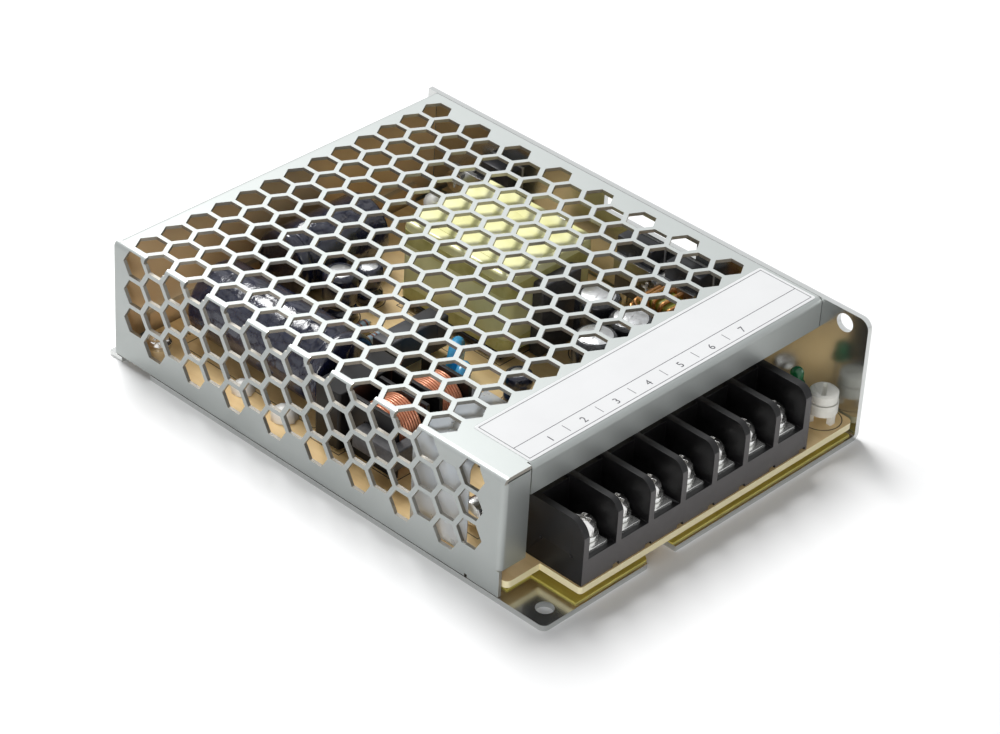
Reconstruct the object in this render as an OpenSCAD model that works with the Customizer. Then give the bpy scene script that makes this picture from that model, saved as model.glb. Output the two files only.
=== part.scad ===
// Enclosed switching power supply with a folded hexagon-mesh cover.
// Millimetres. X = width, Y = length, Z = height. Origin at the centre of the underside.
// The terminals face -Y, the mesh side wall is at -X and the solid chassis wall is at +X.

/* [Case] */
// overall length of the base plate, along Y
case_length = 129; // [110:1:170]
// overall width, along X
case_width = 97; // [90:1:125]
// overall height
case_height = 30; // [28:0.5:45]
// sheet thickness of the chassis
chassis_sheet = 1.3; // [1:0.1:2]
// outside radius of the fold between base plate and side wall
chassis_fold = 1.8; // [1.5:0.1:3]
// radius of the rounded top front corner of the side wall
wall_corner_r = 2.4; // [1:0.1:5]
// diameter of the mounting hole in the base corner
base_hole_d = 3.9; // [3:0.1:5]
// diameter of the mounting hole in the side wall
wall_hole_d = 4.3; // [3:0.1:5]
// length of the vent slot in the side wall
vent_length = 27; // [10:1:40]
// height of the vent slot in the side wall
vent_height = 3.8; // [2:0.1:6]

/* [Cover] */
// sheet thickness of the cover
cover_sheet = 0.8; // [0.6:0.1:1.2]
// outside radius of the cover folds
cover_fold = 1.3; // [1:0.1:2.5]
// distance from the front of the base plate to the front of the cover
cover_setback = 12.5; // [8:0.5:20]
// distance from the back of the base plate to the back of the cover
cover_back_gap = 1.9; // [1.7:0.1:4]
// depth of the lip that hangs over the terminals
lip_drop = 7.2; // [4:0.1:12]
// width of the turned-in flange at the left front edge
flange_width = 7.4; // [4:0.1:12]
// hexagon pitch along a column
mesh_pitch = 7.1; // [6:0.05:9]
// distance between hexagon columns, along Y
mesh_row = 6.22; // [5:0.02:8]
// hexagon size across its flats
mesh_flats = 6.05; // [4:0.05:7]

/* [Terminals] */
// distance from one terminal to the next
terminal_pitch = 9.57; // [8.5:0.01:10.5]
// height of the barriers above the board
barrier_height = 15.6; // [12:0.1:18]
// depth of the terminal block, front to back
block_depth = 15.2; // [13:0.1:20]
// diameter of a terminal screw head
screw_head_d = 6.2; // [5:0.1:6.4]
// diameter of a terminal screw shank
screw_shank_d = 3.4; // [3:0.1:3.6]
// gap between the terminal screw shank and the holes around it
shank_gap = 0.35; // [0.3:0.05:0.5]

/* [Board] */
// thickness of the circuit board
board_thickness = 1.6; // [1:0.1:2]
// height of the board underside above the base plate
board_standoff = 2.3; // [2:0.1:5]
// thickness of the insulating sheet
sheet_thickness = 0.4; // [0.2:0.05:0.6]
// diameter of the trimmer dial
dial_d = 6.3; // [5:0.1:8]

/* [Power parts] */
// transformer width, along X
transformer_x = 26.5; // [20:0.5:34]
// transformer length, along Y
transformer_y = 32.5; // [24:0.5:40]
// transformer top above the underside of the case
transformer_top = 27; // [20:0.5:28.5]
// diameter of the large lying capacitor
main_cap_d = 18; // [16:0.5:20]
// length of the large lying capacitor
main_cap_l = 40; // [30:1:42]
// diameter of the output capacitors
output_cap_d = 10; // [8:0.5:10]
// height of the output capacitors
output_cap_h = 15.5; // [10:0.5:20]

/* [Hidden] */
half_l = case_length / 2;
half_w = case_width / 2;
eps = 0.02;
cut = 5;
touch = 0.05;
base_top = chassis_sheet;
wall_in = half_w - chassis_sheet;
cover_top_in = case_height - cover_sheet;
cover_front = -half_l + cover_setback;
cover_back = half_l - cover_back_gap;
cover_left_in = -half_w + cover_sheet;
fold_in = cover_fold - cover_sheet;
flat_left = -half_w + cover_fold;
flat_top = case_height - cover_fold;
flat_front = cover_front + cover_fold;
flat_back = cover_back - cover_fold;
cover_right = wall_in - 0.1;
cover_bottom = base_top + 0.2;
slit = 0.35;
board_bottom = base_top + board_standoff;
board_top = board_bottom + board_thickness;

// hexagon grid, counted from the back right; the columns wrap over the left fold
mesh_x0 = wall_in - 5.7;
mesh_y0 = cover_back - 6.4;
top_rows = 15;
side_rows = 17;
holes_per_row = 13;
fold_arc = 1.4;

// terminal block
ways = 7;
block_wall = 1.6;
end_wall_drop = 0.8;
end_wall_extra = 0.4;
block_w = ways * terminal_pitch + block_wall + end_wall_extra;
block_left = -half_w + 10.95;
block_front = -half_l + 0.65;
block_back = block_front + block_depth;
barrier_top = board_top + barrier_height;
ledge_top = board_top + 6;
bay_w = terminal_pitch - block_wall;
plate_t = 0.8;
washer_t = 1;
rest_gap = 0.1;
screw_y = block_front + 5.95;
plate_top = ledge_top + plate_t;
washer_bottom = plate_top + rest_gap;
head_bottom = washer_bottom + washer_t + rest_gap;
head_h = 2.9;
shank_bottom = plate_top - 5.2;
well_bottom = board_top + 0.8;

// board outline
board_left = cover_left_in + 0.3;
board_right = wall_in - 0.4;
board_front = -half_l + 0.35;
board_back = half_l - 5.2;
tab_right = -half_w + 10.5;
tab_front = cover_front - 1.2;
post_d = 5.6;
post_left = -half_w + 5.3;
post_right = half_w - 5.9;
post_back = half_l - 10;
post_points = [
    [post_left, post_back], [post_right, post_back],
    [post_left, -half_l + 18], [post_right, -half_l + 23.5]
];

// base plate details
notch_left = -16;
notch_right = -9.9;
notch_depth = 5.4;
base_hole = [-half_w + 4.7, -half_l + 4.2];
wall_hole = [-half_l + 6.1, case_height - 3];
vent_back = 9.6;
ear_w = 7;
edge_slot_y = half_l - 13.1;
edge_slot_l = 9.2;
back_flange_h = 9;
tap_d = 3;
tap_points = [[-34, 46], [34, 46], [-34, -40], [34, -40]];
side_tap_points = [[-40, 15], [22, 15]];
flange_screw_x = 24;
flange_screw_z = 6.2;

// power parts; each keeps its distance from the wall that it stands by
transformer_at = [20, 15.8];
main_cap_at = [-half_w + 18.3, 10.5];
second_cap_d = 16;
second_cap_l = 26;
second_cap_at = [-11, half_l - 13.5];
choke_at = [-half_w + 19.5, -7.2];
choke_coil_d = 12.6;
clip_z = board_top + 10.8;
clip_screw_y = [-11, 47.5];
package_inner = wall_in - 4.8;
package_y = [-23, -9, 34];
package_w = 10;
pad_t = 0.3;
bar_t = 1.2;
output_choke_at = [half_w - 14.1, -20.5];
trimmer_at = [half_w - 6.3, -half_l + 5.6];
dial_pivot_d = 2.4;
led_shift = 0.68;
led_at = [(block_left + block_w + board_right) / 2 + led_shift, -half_l + 11.4];
led_top = board_top + 11.3;
output_cap_points = [
    [half_w - 24.5, -10.5], [half_w - 25.9, -21.2],
    [half_w - 36.3, -20.6], [half_w - 35.9, -31.2]
];
line_cap_at = [-half_w + 6.5, 0.2];
line_cap_w = 18;
line_cap_t = 7.4;
bridge_at = [-17.4, half_l - 53.7];
fuse_at = [-half_w + 7.5, -half_l + 28.5];
thermistor_at = [-half_w + 36.5, -half_l + 30.5];
film_left = -half_w + 2.1;
film_front = -half_l + 23.5;
film_top = case_height - 3;
film_t = 0.4;

WAY = [for (i = [1:ways]) i];

function way_x(i) = block_left + block_wall / 2 + (i - 0.5) * terminal_pitch;
function row_y(j) = mesh_y0 - j * mesh_row;
function is_odd(j) = j % 2 == 1;

// quarter round fold, running along +Z from the origin, metal in the +X +Y quadrant
module fold(length, outer, sheet) {
    rotate_extrude(angle = 90, $fn = 48)
        translate([outer - sheet, 0])
            square([sheet, length]);
}

module fold_left_top(y0, y1) {
    translate([flat_left, y1, flat_top])
        rotate([90, 0, 0])
            rotate([0, 0, 90])
                fold(y1 - y0, cover_fold, cover_sheet);
}

module fold_front_top(x0, x1) {
    translate([x0, flat_front, flat_top])
        rotate([0, 90, 0])
            rotate([0, 0, 180])
                fold(x1 - x0, cover_fold, cover_sheet);
}

module fold_back_top(x0, x1) {
    translate([x0, flat_back, flat_top])
        rotate([0, 90, 0])
            rotate([0, 0, 90])
                fold(x1 - x0, cover_fold, cover_sheet);
}

module fold_left_front(z0, z1) {
    translate([flat_left, flat_front, z0])
        rotate([0, 0, 180])
            fold(z1 - z0, cover_fold, cover_sheet);
}

module box(x0, x1, y0, y1, z0, z1) {
    translate([x0, y0, z0])
        cube([x1 - x0, y1 - y0, z1 - z0]);
}

module rod(x, y, z0, z1, d) {
    translate([x, y, z0])
        cylinder(d = d, h = z1 - z0, $fn = 40);
}

// one hexagon punch, its corners pointing along Y, standing on +Z
module punch(length) {
    rotate([0, 0, 90])
        cylinder(d = mesh_flats / cos(30), h = length, $fn = 6);
}

module top_punches() {
    for (j = [0:top_rows - 1])
        for (i = [0:holes_per_row - 1 - (is_odd(j) ? 1 : 0)])
            translate([mesh_x0 - (i + (is_odd(j) ? 0.5 : 0)) * mesh_pitch, row_y(j), case_height - 2])
                punch(4);
}

module side_punches() {
    last_top = mesh_x0 - (holes_per_row - 1) * mesh_pitch;
    for (j = [0:side_rows - 1])
        for (k = [1:3])
            translate([
                -half_w - 2,
                row_y(j),
                flat_top + last_top - flat_left + fold_arc - (k + (is_odd(j) ? 0.5 : 0)) * mesh_pitch
            ])
                rotate([0, 90, 0])
                    punch(2 + cover_fold - touch);
}

// holes that lie across the left fold
module fold_punches() {
    across = mesh_flats / 2;
    half_y = across / cos(30) - 0.3;
    centre = mesh_x0 - (holes_per_row - 0.5) * mesh_pitch;
    for (j = [1:2:top_rows - 1]) {
        translate([centre, row_y(j), case_height - 2])
            intersection() {
                punch(4);
                box(flat_left - centre, mesh_flats, -mesh_flats, mesh_flats, 0, 4);
            }
        box(-half_w - 1, flat_left, row_y(j) - half_y, row_y(j) + half_y, flat_top, case_height + 1);
        translate([-half_w - 2, row_y(j), flat_top + (centre - flat_left) + fold_arc])
            rotate([0, 90, 0])
                intersection() {
                    punch(2 + cover_fold);
                    box(centre - flat_left + fold_arc, mesh_flats, -mesh_flats, mesh_flats, 0, 4);
                }
    }
}

module mesh_cover() {
    color([0.8, 0.82, 0.82])
    difference() {
        union() {
            box(flat_left, cover_right, flat_front, flat_back, cover_top_in, case_height);
            box(flat_left, -half_w + flange_width, cover_front, flat_front + eps, cover_top_in, case_height);
            fold_left_top(cover_front, cover_back);
            box(-half_w, cover_left_in, flat_front, cover_back, cover_bottom, flat_top);
            fold_front_top(-half_w + flange_width + slit, cover_right);
            box(
                -half_w + flange_width + slit, cover_right,
                cover_front, cover_front + cover_sheet, case_height - lip_drop, flat_top
            );
            fold_left_front(cover_bottom + 6.1, flat_top);
            box(
                flat_left, -half_w + flange_width,
                cover_front, cover_front + cover_sheet, cover_bottom + 6.1, cover_top_in - slit
            );
            box(-half_w, cover_left_in, cover_front, flat_front, cover_bottom, cover_bottom + 6.1);
            fold_back_top(cover_left_in - eps, cover_right);
            box(cover_left_in - eps, cover_right, cover_back - cover_sheet, cover_back, cover_bottom, flat_top);
        }
        top_punches();
        side_punches();
        fold_punches();
        box(-half_w - 1, cover_left_in + 1, cover_front + 8.6, cover_front + 9.4, cover_bottom - 1, cover_bottom + 0.7);
        for (x = [-flange_screw_x, flange_screw_x])
            translate([x, cover_back + 1, flange_screw_z])
                rotate([90, 0, 0])
                    cylinder(d = 3.4, h = 3, $fn = 32);
    }
}

module cover_screws() {
    color([0.75, 0.76, 0.78])
    for (x = [-flange_screw_x, flange_screw_x])
        translate([x, cover_back, flange_screw_z])
            rotate([-90, 0, 0])
                difference() {
                    union() {
                        cylinder(d = 5.2, h = 1, $fn = 32);
                        translate([0, 0, 1])
                            cylinder(d1 = 5.2, d2 = 4, h = 0.6, $fn = 32);
                        translate([0, 0, -3])
                            cylinder(d = 2.9, h = 3.5, $fn = 32);
                    }
                    for (a = [0, 90])
                        rotate([0, 0, a])
                            box(-1.5, 1.5, -0.35, 0.35, 0.7, 2);
                }
}

// removes the sharp corner at the origin of a block that fills the +X +Y quadrant
module corner_cutter(r, length) {
    difference() {
        box(-1, r, -1, r, 0, length);
        translate([r, r, -1])
            cylinder(r = r, h = length + 2, $fn = 40);
    }
}

module notch_outline() {
    polygon([
        [notch_left - 2.4, -half_l - 1],
        [notch_left - 2.4, -half_l],
        [notch_left, -half_l + 3.2],
        [notch_left, -half_l + notch_depth],
        [notch_right, -half_l + notch_depth],
        [notch_right, -half_l - 1]
    ]);
}

module chassis() {
    flange_out = cover_back - cover_sheet;
    flange_start = flange_out - chassis_fold;
    ear_left = -half_w + ear_w;
    ear_right = half_w - ear_w;
    color([0.78, 0.79, 0.8])
    difference() {
        union() {
            box(-half_w, half_w - chassis_fold, -half_l, flange_start, 0, base_top);
            box(-half_w, ear_left, flange_start - eps, half_l, 0, base_top);
            box(ear_right, half_w - chassis_fold, flange_start - eps, half_l, 0, base_top);
            translate([half_w - chassis_fold, half_l, chassis_fold])
                rotate([90, 0, 0])
                    rotate([0, 0, -90])
                        fold(case_length, chassis_fold, chassis_sheet);
            box(wall_in, half_w, -half_l, half_l, chassis_fold, case_height);
            translate([ear_left + 1, flange_start, chassis_fold])
                rotate([0, 90, 0])
                    fold(ear_right - ear_left - 2, chassis_fold, chassis_sheet);
            box(
                ear_left + 1, ear_right - 1,
                flange_out - chassis_sheet, flange_out, chassis_fold, back_flange_h
            );
        }
        translate([0, 0, -1])
            linear_extrude(base_top + 2)
                notch_outline();
        box(-half_w - 1, -half_w + 2.6, edge_slot_y, edge_slot_y + edge_slot_l, -1, base_top + 1);
        translate([-half_w, -half_l, -1])
            corner_cutter(1.5, 4);
        translate([wall_in - 1, -half_l, case_height])
            rotate([0, 90, 0])
                corner_cutter(wall_corner_r, 4);
        translate([base_hole[0], base_hole[1], -1])
            cylinder(d = base_hole_d, h = 4, $fn = 40);
        translate([wall_in - 1, wall_hole[0], wall_hole[1]])
            rotate([0, 90, 0])
                cylinder(d = wall_hole_d, h = 4, $fn = 40);
        box(
            wall_in - 1, half_w + 1, vent_back - vent_length, vent_back,
            case_height - 3.2 - vent_height, case_height - 3.2
        );
        for (p = tap_points)
            translate([p[0], p[1], -1])
                cylinder(d = tap_d, h = 4, $fn = 32);
        for (p = side_tap_points)
            translate([wall_in - 1, p[0], p[1]])
                rotate([0, 90, 0])
                    cylinder(d = tap_d, h = 4, $fn = 32);
        for (y = clip_screw_y)
            translate([wall_in - 1, y, clip_z])
                rotate([0, 90, 0])
                    cylinder(d = 3, h = 4, $fn = 32);
        for (x = [-flange_screw_x, flange_screw_x])
            translate([x, flange_out + 1, flange_screw_z])
                rotate([90, 0, 0])
                    cylinder(d = 3, h = 4, $fn = 32);
    }
}

module insulating_sheet() {
    right = wall_in - 0.9;
    color([0.62, 0.58, 0.2])
    translate([0, 0, base_top])
        difference() {
            linear_extrude(sheet_thickness)
                polygon([
                    [tab_right - 0.6, -half_l + 0.8],
                    [right, -half_l + 0.8],
                    [right, flat_back - 2],
                    [-half_w + 3, flat_back - 2],
                    [-half_w + 3, tab_front + 1.6],
                    [tab_right - 0.6, tab_front + 1.6]
                ]);
            translate([0, 0, -1])
                linear_extrude(sheet_thickness + 2)
                    notch_outline();
            for (p = post_points)
                translate([p[0], p[1], -1])
                    cylinder(d = post_d + 1, h = 3, $fn = 32);
            for (p = tap_points)
                translate([p[0], p[1], -1])
                    cylinder(d = tap_d + 2, h = 3, $fn = 32);
        }
}

module circuit_board() {
    color([0.83, 0.7, 0.47])
    translate([0, 0, board_bottom])
        difference() {
            linear_extrude(board_thickness)
                polygon([
                    [board_left, tab_front],
                    [tab_right, tab_front],
                    [tab_right, board_front],
                    [board_right, board_front],
                    [board_right, board_back],
                    [board_left, board_back]
                ]);
            translate([board_left, tab_front, -1])
                corner_cutter(1.2, 4);
            translate([tab_right, board_front, -1])
                corner_cutter(0.8, 4);
            translate([board_right, board_front, -1])
                rotate([0, 0, 90])
                    corner_cutter(1.8, 4);
            for (p = post_points)
                translate([p[0], p[1], -1])
                    cylinder(d = 3.2, h = 4, $fn = 32);
        }
}

module board_posts() {
    color([0.8, 0.8, 0.8])
    for (p = post_points)
        difference() {
            rod(p[0], p[1], base_top, board_bottom, post_d);
            rod(p[0], p[1], base_top - 1, board_bottom + 1, 2.7);
        }
}

module board_screws() {
    color([0.75, 0.76, 0.78])
    for (p = post_points)
        difference() {
            union() {
                rod(p[0], p[1], base_top + 0.3, board_top + 0.5, 2.6);
                rod(p[0], p[1], board_top, board_top + 1.1, 5.6);
                translate([p[0], p[1], board_top + 1.1])
                    cylinder(d1 = 5.6, d2 = 4.2, h = 0.8, $fn = 40);
            }
            translate([p[0], p[1], 0])
                for (a = [0, 90])
                    rotate([0, 0, a])
                        box(-1.5, 1.5, -0.35, 0.35, board_top + 0.9, board_top + 3);
        }
}

// one barrier of the terminal block with its rounded front corner
module barrier(x, thick, top, round_r) {
    difference() {
        box(x, x + thick, block_front, block_back, board_top, top);
        translate([x - 1, block_front, top])
            rotate([0, 90, 0])
                corner_cutter(round_r, thick + 2);
    }
}

module terminal_block() {
    color([0.07, 0.07, 0.08])
    difference() {
        union() {
            box(block_left, block_left + block_w, block_front, block_back, board_top, ledge_top);
            box(
                block_left, block_left + block_w,
                block_back - 2, block_back, ledge_top - eps, barrier_top - end_wall_drop
            );
            barrier(block_left, block_wall, barrier_top - end_wall_drop, 4.2);
            for (i = [1:ways - 1])
                barrier(block_left + i * terminal_pitch, block_wall, barrier_top, 3);
            barrier(block_left + ways * terminal_pitch, block_wall + end_wall_extra, barrier_top, 3);
        }
        for (i = [1:ways])
            rod(way_x(i), screw_y, well_bottom, ledge_top + 1, screw_shank_d + 2 * shank_gap);
        for (i = [1:ways])
            box(
                block_left + i * terminal_pitch - 0.4, block_left + i * terminal_pitch + 1.4,
                block_front - 1, block_front + 1.4, board_top - 1, board_top + 0.8
            );
        for (x = [block_left - 0.8, block_left + block_w - 0.2])
            for (y = [block_front + 3, block_back - 4])
                translate([x, y, ledge_top])
                    rotate([0, 90, 0])
                        cylinder(d = 0.9, h = 1, $fn = 24);
    }
}

module contact_plates() {
    half = bay_w / 2 - 1.3;
    color([0.82, 0.82, 0.8])
    for (i = [1:ways])
        difference() {
            box(
                way_x(i) - half, way_x(i) + half,
                block_front + 1.15, block_back - 2.2, ledge_top, plate_top
            );
            rod(way_x(i), screw_y, ledge_top - 1, plate_top + 1, screw_shank_d + 2 * shank_gap);
        }
}

module clamp_washer(i) {
    x = way_x(i);
    color([0.8, 0.81, 0.82])
    difference() {
        rod(x, screw_y, washer_bottom, washer_bottom + washer_t, bay_w - 0.8);
        rod(x, screw_y, washer_bottom - 1, washer_bottom + 3, screw_shank_d + 0.6);
    }
}

module terminal_screw(i) {
    x = way_x(i);
    color([0.75, 0.76, 0.78])
    difference() {
        union() {
            rod(x, screw_y, shank_bottom, head_bottom + 0.5, screw_shank_d);
            rod(x, screw_y, head_bottom, head_bottom + head_h - 1.3, screw_head_d);
            translate([x, screw_y, head_bottom + head_h - 1.3])
                cylinder(d1 = screw_head_d, d2 = screw_head_d - 1.2, h = 0.8, $fn = 40);
            translate([x, screw_y, head_bottom + head_h - 0.5])
                cylinder(d1 = screw_head_d - 1.2, d2 = screw_head_d - 2.8, h = 0.5, $fn = 40);
        }
        translate([x, screw_y, head_bottom + 1.3])
            for (a = [20, 110])
                rotate([0, 0, a])
                    box(-1.9, 1.9, -0.5, 0.5, 0, 3);
    }
}

module trimmer_body() {
    top = board_top + 5;
    color([0.9, 0.9, 0.87])
    difference() {
        union() {
            rod(trimmer_at[0], trimmer_at[1], board_top + 2.4, top, dial_d + 0.4);
            for (a = [30, 150, 270])
                translate([trimmer_at[0], trimmer_at[1], 0])
                    rotate([0, 0, a])
                        box(dial_d / 2 - 1.2, dial_d / 2, -0.7, 0.7, board_top, board_top + 2.5);
        }
        rod(trimmer_at[0], trimmer_at[1], top - 2.2, top + 1, dial_pivot_d + 0.1);
    }
}

module trimmer_dial() {
    bottom = board_top + 5 + rest_gap;
    color([0.93, 0.92, 0.88])
    difference() {
        union() {
            rod(trimmer_at[0], trimmer_at[1], bottom, bottom + 2, dial_d);
            translate([trimmer_at[0], trimmer_at[1], bottom + 2])
                cylinder(d1 = dial_d, d2 = dial_d - 0.8, h = 0.4, $fn = 40);
            rod(trimmer_at[0], trimmer_at[1], bottom - 1.9, bottom + 0.5, dial_pivot_d);
        }
        translate([trimmer_at[0], trimmer_at[1], bottom + 1.5])
            rotate([0, 0, 35])
                box(-2.3, 2.3, -0.4, 0.4, 0, 2);
    }
}

module indicator_led() {
    x = led_at[0];
    y = led_at[1];
    color([0.1, 0.5, 0.25])
    union() {
        for (side = [-1, 1])
            box(x + side * 1.27 - 0.25, x + side * 1.27 + 0.25, y - 0.25, y + 0.25, board_top, led_top - 4.4);
        rod(x, y, led_top - 4.5, led_top - 3.5, 3.8);
        rod(x, y, led_top - 3.6, led_top - 1.5, 3);
        translate([x, y, led_top - 1.5])
            sphere(d = 3, $fn = 32);
    }
}

// upright block with four rounded vertical edges
module rounded_block(x0, x1, y0, y1, z0, z1, r) {
    union() {
        box(x0 + r, x1 - r, y0, y1, z0, z1);
        box(x0, x1, y0 + r, y1 - r, z0, z1);
        for (x = [x0 + r, x1 - r])
            for (y = [y0 + r, y1 - r])
                rod(x, y, z0, z1, 2 * r);
    }
}

tx0 = transformer_at[0] - transformer_x / 2;
tx1 = transformer_at[0] + transformer_x / 2;
ty0 = transformer_at[1] - transformer_y / 2;
ty1 = transformer_at[1] + transformer_y / 2;

module transformer_winding() {
    color([0.87, 0.83, 0.45])
    rounded_block(tx0, tx1, ty0, ty1, board_top + 2.2, transformer_top, 2.2);
}

module transformer_bobbin() {
    color([0.08, 0.08, 0.08])
    union() {
        box(tx0 - 0.6, tx1 + 0.6, ty0 + 1, ty1 - 1, board_top + 1, board_top + 2.2);
        for (x = [tx0 + 1, tx1 - 3])
            box(x, x + 2, ty0 + 2, ty1 - 2, board_top, board_top + 1.1);
    }
}

module transformer_core() {
    half = 6;
    x = transformer_at[0];
    color([0.16, 0.16, 0.17])
    union() {
        box(x - half, x + half, ty0 - 3.2, ty0, board_top, transformer_top - 3.5);
        box(x - half, x + half, ty1, ty1 + 3.8, board_top, transformer_top - 3.5);
    }
}

// lying electrolytic capacitor along +Y from the origin, its crimp near the front
module lying_can(d, l) {
    rotate([-90, 0, 0])
        union() {
            cylinder(d = d - 1, h = 1.2, $fn = 48);
            translate([0, 0, 1.1])
                cylinder(d = d, h = 2.3, $fn = 48);
            translate([0, 0, 3.3])
                cylinder(d = d - 1.4, h = 1.2, $fn = 48);
            translate([0, 0, 4.4])
                cylinder(d = d, h = l - 4.4, $fn = 48);
        }
}

module main_capacitor() {
    color([0.07, 0.08, 0.16])
    translate([main_cap_at[0], main_cap_at[1], board_top + main_cap_d / 2])
        lying_can(main_cap_d, main_cap_l);
}

module second_capacitor() {
    color([0.07, 0.08, 0.16])
    translate([second_cap_at[0], second_cap_at[1], board_top + second_cap_d / 2])
        rotate([0, 0, -90])
            lying_can(second_cap_d, second_cap_l);
}

module line_capacitor() {
    x = line_cap_at[0];
    y = line_cap_at[1];
    color([0.09, 0.09, 0.1])
    union() {
        rounded_block(x, x + line_cap_w, y, y + line_cap_t, board_top + 0.6, board_top + 14.5, 0.8);
        for (foot = [x + 1, x + line_cap_w - 3])
            box(foot, foot + 2, y + 1.2, y + line_cap_t - 1.2, board_top, board_top + 0.7);
    }
}

module disc_capacitors() {
    y = bridge_at[1];
    color([0.08, 0.42, 0.66])
    for (p = [[-5.2, y - 7.8, board_top + 5.4, 9.6], [choke_at[0] + 19.1, y - 14.3, board_top + 5, 9]])
        translate([p[0], p[1], p[2]])
            rotate([0, 0, 32])
                union() {
                    rotate([90, 0, 0])
                        translate([0, 0, -1.2])
                            cylinder(d = p[3], h = 2.4, $fn = 40);
                    for (side = [-1, 1])
                        box(side * 3.4 - 0.4, side * 3.4 + 0.4, -0.4, 0.4, board_top - p[2], -1.6);
                }
}

module choke_core() {
    x = choke_at[0];
    y = choke_at[1];
    z = board_top + 7.4;
    color([0.13, 0.13, 0.14])
    difference() {
        box(x - 14.4, x + 14.4, y - 10, y + 2.2, z - 2.2, z + 2.2);
        box(x - 11, x + 11, y - 7.2, y - 2.2, z - 3, z + 3);
    }
}

module choke_bobbin() {
    x = choke_at[0];
    y = choke_at[1];
    z = board_top + 7.4;
    color([0.06, 0.06, 0.06])
    difference() {
        union() {
            for (dx = [-10.9, -2.4, 1.4, 9.9])
                box(x + dx, x + dx + 1, y - 7, y + 7, board_top, z + 7);
            translate([x - 10.5, y, z])
                rotate([0, 90, 0])
                    cylinder(d = 8, h = 21, $fn = 40);
        }
        box(x - 20, x + 20, y - 2.3, y + 2.3, z - 2.3, z + 2.3);
        box(x - 20, x + 20, y - 11, y - 7, z - 2.3, z + 2.3);
    }
}

module choke_windings() {
    z = board_top + 7.4;
    color([0.78, 0.38, 0.22])
    for (dx = [-9.85, 2.45])
        translate([choke_at[0] + dx, choke_at[1], z])
            rotate([0, 90, 0])
                difference() {
                    cylinder(d = choke_coil_d, h = 7.4, $fn = 48);
                    translate([0, 0, -1])
                        cylinder(d = 8.1, h = 10, $fn = 40);
                }
}

module bridge_rectifier() {
    x = bridge_at[0];
    y = bridge_at[1];
    color([0.08, 0.08, 0.09])
    union() {
        box(x, x + 18, y, y + 5.2, board_top + 2, board_top + 10);
        for (i = [0:3])
            box(x + 1.8 + i * 4.6, x + 2.8 + i * 4.6, y + 2.2, y + 3, board_top, board_top + 2.1);
    }
}

module fuse() {
    x = fuse_at[0];
    y = fuse_at[1];
    z = board_top + 4;
    color([0.75, 0.7, 0.55])
    union() {
        translate([x + 1, y, z])
            rotate([0, 90, 0])
                cylinder(d = 5.2, h = 20, $fn = 32);
        for (cap = [x, x + 20])
            box(cap, cap + 2, y - 2.9, y + 2.9, board_top, z + 2.9);
    }
}

module thermistor() {
    x = thermistor_at[0];
    y = thermistor_at[1];
    color([0.1, 0.22, 0.14])
    union() {
        translate([x, y, board_top + 6.5])
            rotate([90, 0, 0])
                cylinder(d = 11, h = 3.6, $fn = 40);
        for (leg = [x - 3.6, x + 2.6])
            box(leg, leg + 1, y - 2.2, y - 1.2, board_top, board_top + 3);
    }
}

module small_capacitors() {
    color([0.06, 0.07, 0.12])
    for (p = [
        [-6.8, half_l - 27.9, 8, 12], [2.6, half_l - 27.3, 6.3, 9],
        [-1.5, -12, 6.3, 8], [2, -half_l + 26.5, 8, 12]
    ])
        rod(p[0], p[1], board_top, board_top + p[3], p[2]);
}

module resistors() {
    color([0.62, 0.66, 0.7])
    for (p = [
        [-12, half_l - 40.5], [-12, half_l - 35.5], [-4, half_l - 42.5],
        [-17, -20], [-7.5, -20], [half_w - 48.5, -26]
    ])
        translate([p[0], p[1], board_top + 1.6])
            rotate([0, 90, 0])
                union() {
                    cylinder(d = 2.4, h = 6.2, $fn = 24);
                    for (z = [-1.2, 6.4])
                        box(-0.3, 1.6, -0.3, 0.3, z, z + 1);
                    translate([0, 0, -1])
                        cylinder(d = 0.7, h = 8.2, $fn = 16);
                }
}

module package(y) {
    union() {
        box(package_inner, wall_in - pad_t, y, y + package_w, board_top + 3, board_top + 17.4);
        for (i = [0:2])
            box(
                package_inner + 1.4, package_inner + 2.2,
                y + 2 + i * 2.6, y + 2.8 + i * 2.6, board_top, board_top + 3.1
            );
    }
}

module output_diodes() {
    color([0.12, 0.13, 0.15])
    for (i = [0, 1])
        package(package_y[i]);
}

module power_transistor() {
    color([0.12, 0.13, 0.15])
    package(package_y[2]);
}

module thermal_pad() {
    color([0.72, 0.72, 0.74])
    for (y = package_y)
        box(wall_in - pad_t, wall_in, y, y + package_w, board_top + 3, board_top + 17.4);
}

module clamp_bar() {
    color([0.7, 0.71, 0.72])
    for (span = [[-22.5, 0.5, 0], [34.5, 51, 1]])
        difference() {
            box(package_inner - bar_t, package_inner, span[0], span[1], clip_z - 2.5, clip_z + 2.5);
            translate([package_inner - 4, clip_screw_y[span[2]], clip_z])
                rotate([0, 90, 0])
                    cylinder(d = 3.2, h = 8, $fn = 32);
        }
}

module clamp_screws() {
    color([0.75, 0.76, 0.78])
    for (y = clip_screw_y)
        translate([package_inner - bar_t, y, clip_z])
            rotate([0, -90, 0])
                difference() {
                    union() {
                        cylinder(d = 5.4, h = 2, $fn = 32);
                        translate([0, 0, -6.9])
                            cylinder(d = 2.9, h = 7.5, $fn = 32);
                    }
                    for (a = [0, 90])
                        rotate([0, 0, a])
                            box(-1.5, 1.5, -0.35, 0.35, 1.1, 3);
                }
}

module output_capacitors() {
    color([0.07, 0.07, 0.08])
    for (p = output_cap_points)
        rod(p[0], p[1], board_top, board_top + output_cap_h, output_cap_d);
}

module output_capacitor_tops() {
    color([0.78, 0.78, 0.78])
    for (p = output_cap_points)
        rod(p[0], p[1], board_top + output_cap_h, board_top + output_cap_h + 0.3, output_cap_d - 1.6);
}

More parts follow.
